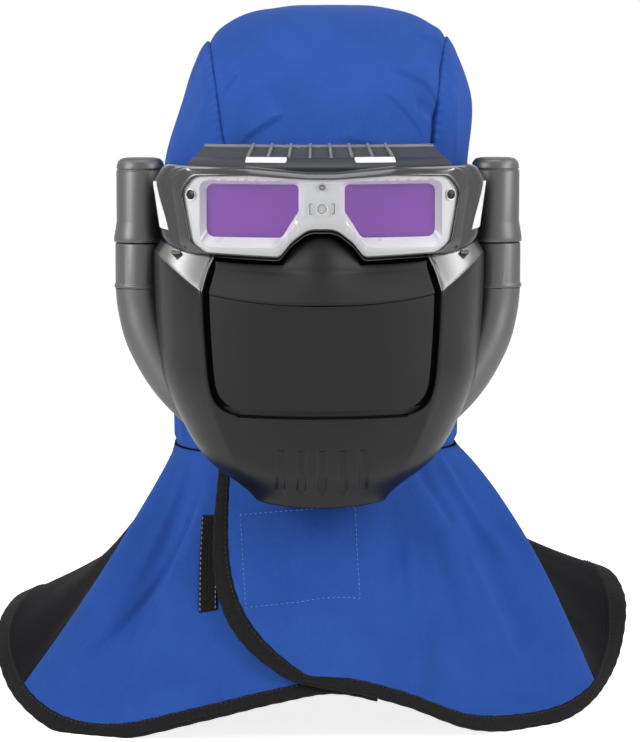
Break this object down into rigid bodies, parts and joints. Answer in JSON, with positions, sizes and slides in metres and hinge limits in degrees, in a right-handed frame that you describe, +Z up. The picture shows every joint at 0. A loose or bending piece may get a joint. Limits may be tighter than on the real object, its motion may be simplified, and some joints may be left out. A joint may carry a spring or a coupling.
{
  "type": "powered air respirator head unit",
  "caption": "Head unit of a powered air respirator: auto-darkening welding goggles over a half mask with side air ducts, in a cloth hood with a lapped shoulder bib",
  "frame": {"origin": "middle of the footprint, on the surface that the hem of the bib rests on", "axes": "+Z up from hem to crown, the face looks along -Y, +X is the wearer's left"},
  "size_m": [0.4543, 0.3315, 0.494],
  "materials": {
    "blue_cloth": "woven blue flame resistant cotton",
    "black_cloth": "woven black cotton",
    "tape": "black ribbed binding tape",
    "webbing": "black elastic webbing",
    "black_plastic": "satin black moulding",
    "mask_plastic": "matt black moulding",
    "duct_plastic": "satin black-grey moulding",
    "silver_plastic": "silver metallic paint",
    "clear_plastic": "clear polycarbonate",
    "purple_glass": "coated purple filter glass",
    "dark_glass": "liquid crystal cell",
    "board": "green circuit board",
    "steel": "plain steel",
    "red_plastic": "red push button",
    "sensor_black": "gloss black sensor window",
    "lamp_white": "milky lamp lens",
    "soft_rubber": "soft black seal",
    "pale_rubber": "translucent silicone",
    "white_pad": "plain white pad",
    "vent_plastic": "matt blue-black moulding"
  },
  "bodies": {
    "head_unit": {"goggle_frame": "black_plastic", "filter_bezel": "silver_plastic", "cover_lens": "clear_plastic", "filter_glass_left": "purple_glass", "filter_glass_right": "purple_glass", "lcd_cell_left": "dark_glass", "lcd_cell_right": "dark_glass", "circuit_board": "board", "coin_cell": "steel", "cassette_back": "black_plastic", "arc_sensor_left": "sensor_black", "arc_sensor_right": "sensor_black", "centre_lamp": "lamp_white", "bezel_screw": "steel", "face_seal": "soft_rubber", "brow_vent": "vent_plastic", "vent_pad_left": "white_pad", "vent_pad_right": "white_pad", "head_strap_left": "webbing", "head_strap_right": "webbing", "strap_buckle": "black_plastic", "mask_shell": "mask_plastic", "front_panel": "mask_plastic", "nose_band": "mask_plastic", "mask_clip_left": "black_plastic", "mask_clip_right": "black_plastic", "valve_seat": "duct_plastic", "valve_flap": "pale_rubber", "lower_duct_left": "duct_plastic", "lower_duct_right": "duct_plastic", "duct_sleeve_left": "duct_plastic", "duct_sleeve_right": "duct_plastic", "crown_centre": "blue_cloth", "crown_side_left": "blue_cloth", "crown_side_right": "blue_cloth", "hood_neck": "blue_cloth", "bib_front_left": "blue_cloth", "bib_front_right": "blue_cloth", "bib_gusset_left": "black_cloth", "bib_gusset_right": "black_cloth", "bib_back": "blue_cloth", "binding_left": "tape", "binding_right": "tape", "binding_back": "tape", "hook_strip": "tape"},
    "left_elbow": {"air_elbow_left": "duct_plastic", "elbow_seal_left": "soft_rubber"},
    "right_elbow": {"air_elbow_right": "duct_plastic", "elbow_seal_right": "soft_rubber"},
    "left_clip": {"strap_clip_left": "black_plastic"},
    "right_clip": {"strap_clip_right": "black_plastic"},
    "shade_key": {"shade_button": "red_plastic"},
    "mode_key": {"mode_button": "red_plastic"}
  },
  "joints": [
    {"name": "left_elbow_swivel", "type": "hinge", "parent": "head_unit", "child": "left_elbow", "pos_m": [0.121, -0.07, 0.333], "axis": [0, 0, -1], "range_deg": [0, 40]},
    {"name": "right_elbow_swivel", "type": "hinge", "parent": "head_unit", "child": "right_elbow", "pos_m": [-0.121, -0.07, 0.333], "axis": [0, 0, 1], "range_deg": [0, 40]},
    {"name": "left_clip_tilt", "type": "hinge", "parent": "head_unit", "child": "left_clip", "pos_m": [0.099, -0.084, 0.365], "axis": [1, 0, 0], "range_deg": [-15, 15]},
    {"name": "right_clip_tilt", "type": "hinge", "parent": "head_unit", "child": "right_clip", "pos_m": [-0.099, -0.084, 0.365], "axis": [1, 0, 0], "range_deg": [-15, 15]},
    {"name": "shade_press", "type": "slide", "parent": "head_unit", "child": "shade_key", "axis": [0, -1, 0], "range_m": [0, 0.0008], "stiffness_N_per_m": 300, "springref_m": -0.0005},
    {"name": "mode_press", "type": "slide", "parent": "head_unit", "child": "mode_key", "axis": [0, -1, 0], "range_m": [0, 0.0008], "stiffness_N_per_m": 300, "springref_m": -0.0005}
  ]
}
